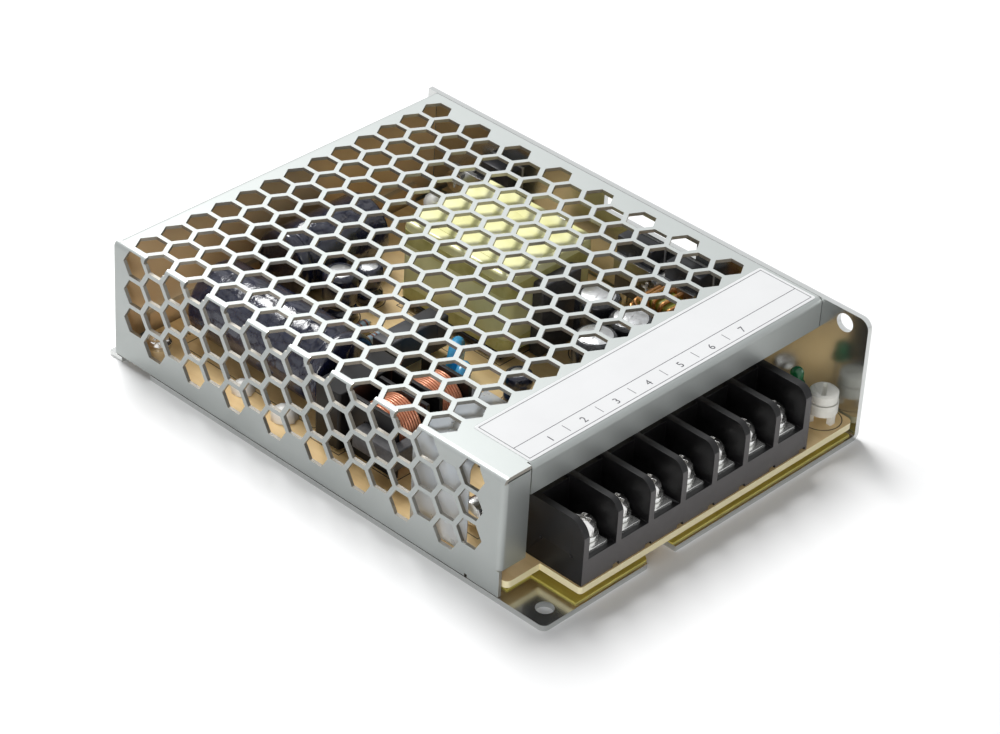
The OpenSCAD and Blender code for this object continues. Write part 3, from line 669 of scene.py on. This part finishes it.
def line_choke():
    """Two coils side by side on one core leg, each wound from separate turns."""
    wire_r = 0.31
    coils, under = bmesh.new(), bmesh.new()
    for low, high in loose_parts("choke_windings"):
        y, z = (low.y + high.y) / 2, (low.z + high.z) / 2
        outer, length = (high.z - low.z) / 2, high.x - low.x
        ring(under, (low.x, y, z), 3.9, outer - wire_r * 1.4, length, (1, 0, 0), 32)
        count = int(length / (wire_r * 2))
        r = outer - wire_r
        angles = [a * math.tau / 40 for a in range(40)]
        routes = []
        for n in range(count):
            x = low.x + wire_r + n * (length - 2 * wire_r) / (count - 1)
            routes.append([(x, y + r * math.cos(a), z + r * math.sin(a)) for a in angles])
        wires(coils, routes, wire_r, closed=True)
    piece("choke_turns", coils, copper_wire, ["choke_windings"], smooth=70)
    piece("choke_under", under, copper_wire)
    softened("choke_core", ferrite, 0.3)
    softened("choke_bobbin", black_moulding, 0.2)


def output_choke():
    """A ring core standing on its edge, wound with heavy wire."""
    low, high = span("output_choke_core")
    x, y, z = centre("output_choke_core")
    outer, inner = (high.z - low.z) / 2, 4.0
    half = (high.x - low.x) / 2
    edge = 0.9
    near = edge * 0.3
    core = bmesh.new()
    profile = [
        (inner, -half + edge), (inner + near, -half + near), (inner + edge, -half),
        (outer - edge, -half), (outer - near, -half + near), (outer, -half + edge),
        (outer, half - edge), (outer - near, half - near), (outer - edge, half),
        (inner + edge, half), (inner + near, half - near), (inner, half - edge),
        (inner, -half + edge),
    ]
    turned(core, profile, (x, y, z), (1, 0, 0), 48)
    piece("choke_ring", core, toroid_paint, ["output_choke_core"])
    wire_r, bend, count = 0.47, 0.8, 20
    first, spread = -150, 300
    turns = bmesh.new()
    corners = (
        (outer + wire_r - bend, 1, 0), (inner - wire_r + bend, 1, 90),
        (inner - wire_r + bend, -1, 180), (outer + wire_r - bend, -1, 270),
    )
    routes = []
    for n in range(count):
        angle = math.radians(first + n * spread / (count - 1))
        outward = Vector((0, math.cos(angle), math.sin(angle)))
        loop = []
        for corner_r, side, start in corners:
            for step in (0, 30, 60, 90):
                a = math.radians(start + step)
                point = Vector((x, y, z)) + outward * (corner_r + bend * math.cos(a))
                loop.append(point + Vector((side * (half + wire_r - bend) + bend * math.sin(a), 0, 0)))
        routes.append(loop)
    wires(turns, routes, wire_r, closed=True)
    piece("ring_turns", turns, gold_wire, ["output_choke_winding"], smooth=70)
    tails = bmesh.new()
    board = span("circuit_board")[1].z
    spots = ((x - 2.6, y + 3.6), (x + 2.6, y - 3.6))
    wires(tails, [[(*spot, board), (*spot, board + 1.9)] for spot in spots], wire_r)
    piece("ring_tails", tails, gold_wire)


def lens_disc(form, middle, across, radius, thick):
    """A dipped disc: a flat pill with rounded rims."""
    half = thick / 2
    profile = [(0, -half)]
    for a in range(-90, 91, 18):
        profile.append((radius - half + half * math.cos(math.radians(a)), half * math.sin(math.radians(a))))
    profile.append((0, half))
    turned(form, profile, middle, across, 40)


def dipped_parts():
    """The blue discs, set askew on the board, and the green one."""
    board = span("circuit_board")[1].z
    askew = math.radians(32)
    across = (-math.sin(askew), math.cos(askew), 0)
    reach = Vector((math.cos(askew), math.sin(askew), 0)) * 3.4
    discs, legs = bmesh.new(), bmesh.new()
    for low, high in loose_parts("disc_capacitors"):
        mid = (low + high) / 2
        r = (high.z - low.z - 0.4) / 2
        middle = Vector((mid.x, mid.y, high.z - r))
        lens_disc(discs, middle, across, r, 2.6)
        for side in (-1, 1):
            at = middle + reach * side
            wires(legs, [[(at.x, at.y, board), (at.x, at.y, middle.z - r * 0.35)]], 0.32)
    piece("blue_discs", discs, blue_dip, ["disc_capacitors"], smooth=60)
    disc = bmesh.new()
    mid, top = centre("thermistor"), span("thermistor")[1].z
    r = 5.5
    lens_disc(disc, (mid.x, mid.y, top - r), (0, 1, 0), r, 3.4)
    piece("green_disc", disc, green_dip, ["thermistor"], smooth=60)
    for x in (mid.x - 3.1, mid.x + 3.1):
        wires(legs, [[(x, mid.y, board), (x, mid.y, top - 8)]], 0.4)
    piece("disc_legs", legs, solder)


def rectifier(board, legs):
    low, high = span("bridge_rectifier")
    body = bmesh.new()
    block(body, (low.x, low.y, board + 2), high, 0.45, 3)
    for x in (low.x + 1.2, high.x - 3.6):
        block(body, (x, low.y - 0.05, board + 2.6), (x + 2.4, low.y + 0.2, high.z - 0.8), 0.1, 1)
    piece("rectifier_body", body, epoxy_black, ["bridge_rectifier"])
    for i in range(4):
        x = low.x + 2.3 + i * 4.6
        block(legs, (x - 0.45, low.y + 2.2, board), (x + 0.45, low.y + 2.9, board + 2.1), 0.08, 1)


def clamped_bodies(node, board, legs):
    """Three-legged parts that stand flat on the solid wall."""
    bodies = bmesh.new()
    for low, high in loose_parts(node):
        block(bodies, (low.x, low.y, board + 3), high, 0.35, 2)
        dimple = (low.x + 0.35, (low.y + high.y) / 2, high.z - 3.2)
        rod(bodies, dimple, 0.5, 1.3, 0.05, (-1, 0, 0), 24)
        for i in range(3):
            y = low.y + 2.4 + i * 2.6
            block(legs, (low.x + 1.4, y - 0.4, board), (low.x + 2, y + 0.4, board + 3.1), 0.08, 1)
    piece(node + "_bodies", bodies, epoxy_black, [node])


def fuse_in_clips(board):
    low, high = span("fuse")
    y, z = centre("fuse").y, board + 4
    tube, caps = bmesh.new(), bmesh.new()
    rod(tube, (low.x + 4.5, y, z), high.x - low.x - 9, 2.5, 0.1, (1, 0, 0))
    for x in (low.x + 0.4, high.x - 5.4):
        rod(caps, (x, y, z), 5, 2.75, 0.35, (1, 0, 0))
    for x in (low.x + 1.4, high.x - 3.4):
        block(caps, (x, y - 2.9, board), (x + 2, y + 2.9, z + 1.4), 0.2, 2)
    piece("fuse_tube", tube, ceramic, ["fuse"])
    piece("fuse_caps", caps, nickel)


def banded_resistors(board, legs):
    bodies, bands = bmesh.new(), bmesh.new()
    thin, thick, cap = 1.02, 1.2, 0.02
    for low, high in loose_parts("resistors"):
        y, z = (low.y + high.y) / 2, high.z - thick
        start, length = low.x + 1.2, high.x - low.x - 2.4
        profile = [
            (0, 0), (0.7, 0), (1.1, 0.25), (thick, 0.7), (thick, 1.3), (thin, 1.8),
            (thin, length - 1.8), (thick, length - 1.3), (thick, length - 0.7),
            (1.1, length - 0.25), (0.7, length), (0, length),
        ]
        turned(bodies, profile, (start, y, z), (1, 0, 0), 24)
        for share, radius in ((0.14, thick), (0.4, thin), (0.56, thin), (0.8, thick)):
            foot = (start + length * share, y, z)
            ring(bands, foot, radius + cap - 0.2, radius + cap, 0.5, (1, 0, 0), 24)
        for end, out in ((start, -0.9), (start + length, 0.9)):
            bent = [
                (end, y, z), (end + out * 0.7, y, z), (end + out, y, z - 0.3), (end + out, y, board),
            ]
            wires(legs, [bent], 0.3)
    piece("resistor_bodies", bodies, resistor_paint, ["resistors"])
    piece("resistor_bands", bands, band_paint)


def small_parts():
    """Rectifier, fuse, resistors and the parts clamped to the wall."""
    board = span("circuit_board")[1].z
    legs = bmesh.new()
    rectifier(board, legs)
    clamped_bodies("output_diodes", board, legs)
    clamped_bodies("power_transistor", board, legs)
    fuse_in_clips(board)
    banded_resistors(board, legs)
    piece("tinned_legs", legs, solder)
    softened("line_capacitor", black_moulding, 0.3)
    softened("clamp_bar", spring_steel, 0.2)
    softened("clamp_screws", nickel, 0.12)
    softened("thermal_pad", grey_pad, 0.08)


def bent_film():
    """The milky sheet in the left front corner, a side and a top joined by a round bend."""
    low, high = span("shield_film")
    film = bmesh.new()
    bend, thickness = 2.4, 0.3
    rounded = [
        (low.x + bend - bend * math.cos(math.radians(a)), high.z - bend + bend * math.sin(math.radians(a)))
        for a in range(0, 91, 15)
    ]
    line = [(low.x, low.z)] + rounded + [(high.x, high.z - 0.4)]
    points = [film.verts.new((x, low.y, z)) for x, z in line]
    edges = [film.edges.new(pair) for pair in zip(points, points[1:])]
    pulled = bmesh.ops.extrude_edge_only(film, edges=edges)["geom"]
    bmesh.ops.translate(
        film, vec=(0, high.y - low.y, 0),
        verts=[g for g in pulled if isinstance(g, bmesh.types.BMVert)],
    )
    made = piece("shield_sheet", film, milky_film, ["shield_film"], smooth=60)
    thick = made.modifiers.new("sheet", "SOLIDIFY")
    thick.thickness = thickness * MM


def sealant():
    """Blobs of silicone with an uneven outline, flat underneath."""
    beads = bmesh.new()
    for low, high in loose_parts("silicone_beads"):
        fresh = bmesh.ops.create_icosphere(beads, subdivisions=3, radius=1.0)["verts"]
        size = (high - low) / 2
        bmesh.ops.scale(beads, vec=(size.x, size.y, size.z * 2), verts=fresh)
        for v in fresh:
            swell = 1 + 0.09 * math.sin(3.1 * v.co.x + 1.7 * v.co.y) * math.cos(2.3 * v.co.y)
            v.co.x *= swell
            v.co.y *= swell
            v.co.z = max(v.co.z, -0.2)
        foot = ((low.x + high.x) / 2, (low.y + high.y) / 2, low.z)
        bmesh.ops.translate(beads, vec=foot, verts=fresh)
    piece("sealant_beads", beads, white_silicone, ["silicone_beads"], smooth=60)


# ---- printing on the board ----


def board_print():
    """Plain outlines round the parts, and groups of plain bars where a board has small print."""
    z = span("circuit_board")[1].z
    ink = bmesh.new()
    w, h = 0.22, 0.03
    bar, gap = 0.4, 1.1
    print_groups = (
        (-38, 53, "across"), (-20, 35, "along"), (-6, 18, "across"), (-14, 1, "along"),
        (-24, -24, "across"), (4, -30, "along"), (31, -33, "across"),
    )

    def outline(low, high, room=0.6):
        x0, y0, x1, y1 = low.x - room, low.y - room, high.x + room, high.y + room
        block(ink, (x0, y0, z), (x1, y0 + w, z + h))
        block(ink, (x0, y1 - w, z), (x1, y1, z + h))
        block(ink, (x0, y0, z), (x0 + w, y1, z + h))
        block(ink, (x1 - w, y0, z), (x1, y1, z + h))

    for node in (
        "transformer_bobbin", "line_capacitor", "choke_bobbin", "bridge_rectifier", "main_capacitor",
        "second_capacitor", "fuse", "output_choke_core",
    ):
        outline(*span(node))
    for node in ("output_capacitors", "small_capacitors"):
        for low, high in loose_parts(node):
            r = (high.x - low.x) / 2
            ring(ink, ((low.x + high.x) / 2, (low.y + high.y) / 2, z), r + 0.4, r + 0.65, h)
    for low, high in loose_parts("resistors"):
        outline(Vector((low.x + 1, low.y - 0.2, 0)), Vector((high.x - 1, high.y + 0.2, 0)), 0.3)
    for node, inner, outer in (("trimmer_body", 4.3, 4.55), ("indicator_led", 2.2, 2.42)):
        ring(ink, (*centre(node).xy, z), inner, outer, h)
    for x, y, way in print_groups:
        for n in range(5):
            long = 3.2 if n % 2 else 1.8
            step = n * gap
            if way == "across":
                block(ink, (x + step, y, z), (x + step + bar, y + long, z + h))
            else:
                block(ink, (x, y + step, z), (x + long, y + step + bar, z + h))
    piece("board_outlines", ink, board_ink, smooth=20)


# ---- studio ----


def floor():
    form = bmesh.new()
    bmesh.ops.create_grid(form, x_segments=1, y_segments=1, size=4.0)
    mesh = bpy.data.meshes.new("floor")
    form.to_mesh(mesh)
    form.free()
    made = bpy.data.objects.new("floor", mesh)
    bpy.context.scene.collection.objects.link(made)
    pale = bpy.data.materials.new("pale_floor")
    pale.use_nodes = True
    shader = pale.node_tree.nodes["Principled BSDF"]
    shader.inputs["Base Color"].default_value = (0.95, 0.95, 0.95, 1)
    shader.inputs["Roughness"].default_value = 0.7
    mesh.materials.append(pale)


def surround():
    """A white surround for the camera, for mirrors and for glass. It lights the scene at a fifth
    of that, so that the lamps cast the shadows."""
    world = bpy.data.worlds.new("studio")
    world.use_nodes = True
    bpy.context.scene.world = world
    nodes, links = world.node_tree.nodes, world.node_tree.links
    sky = nodes["Background"]
    sky.inputs["Color"].default_value = (0.97, 0.985, 1.0, 1)
    rays = nodes.new("ShaderNodeLightPath")

    def either(first, second):
        node = nodes.new("ShaderNodeMath")
        node.operation = "MAXIMUM"
        links.new(first, node.inputs[0])
        links.new(second, node.inputs[1])
        return node.outputs["Value"]

    clear = either(rays.outputs["Is Glossy Ray"], rays.outputs["Is Transmission Ray"])
    level = nodes.new("ShaderNodeMapRange")
    level.inputs["To Min"].default_value = 0.2
    level.inputs["To Max"].default_value = 1.0
    links.new(either(rays.outputs["Is Camera Ray"], clear), level.inputs["Value"])
    links.new(level.outputs["Result"], sky.inputs["Strength"])


def lamps():
    target = Vector((0, 0, 0.015))
    for name, spot, size, power in (
        ("key", (0.16, 0.60, 0.92), 0.5, 14.2),
        ("fill", (-0.80, -0.55, 0.22), 0.4, 3.8),
    ):
        data = bpy.data.lights.new(name, "AREA")
        data.energy = power
        data.size = size
        lamp = bpy.data.objects.new(name, data)
        bpy.context.scene.collection.objects.link(lamp)
        lamp.location = spot
        lamp.rotation_euler = (target - Vector(spot)).to_track_quat("-Z", "Y").to_euler()


def camera():
    data = bpy.data.cameras.new("camera")
    data.lens = 123.44
    data.sensor_width = 36
    data.shift_x = 0.0432
    data.shift_y = -0.0551
    data.clip_start = 0.05
    data.clip_end = 20
    shot = bpy.data.objects.new("camera", data)
    bpy.context.scene.collection.objects.link(shot)
    turn, rise, roll = (math.radians(a) for a in (-46.986, 33.517, 2.911))
    distance = 0.73309
    back = Vector((math.sin(turn) * math.cos(rise), -math.cos(turn) * math.cos(rise), math.sin(rise)))
    side = Vector(UP).cross(back).normalized()
    up = back.cross(side)
    side, up = (
        side * math.cos(roll) + up * math.sin(roll),
        up * math.cos(roll) - side * math.sin(roll),
    )
    aim = Vector((0.00283, 0.01078, 0.015))
    basis = Matrix((side, up, back)).transposed().to_4x4()
    shot.matrix_world = Matrix.Translation(aim + back * distance) @ basis
    bpy.context.scene.camera = shot
    bpy.context.scene.view_settings.view_transform = "Standard"


camera()
floor()
surround()
lamps()
case_sheets()
label()
terminals()
trimmer()
status_light()
transformer()
capacitors()
line_choke()
output_choke()
dipped_parts()
small_parts()
bent_film()
sealant()
board_print()
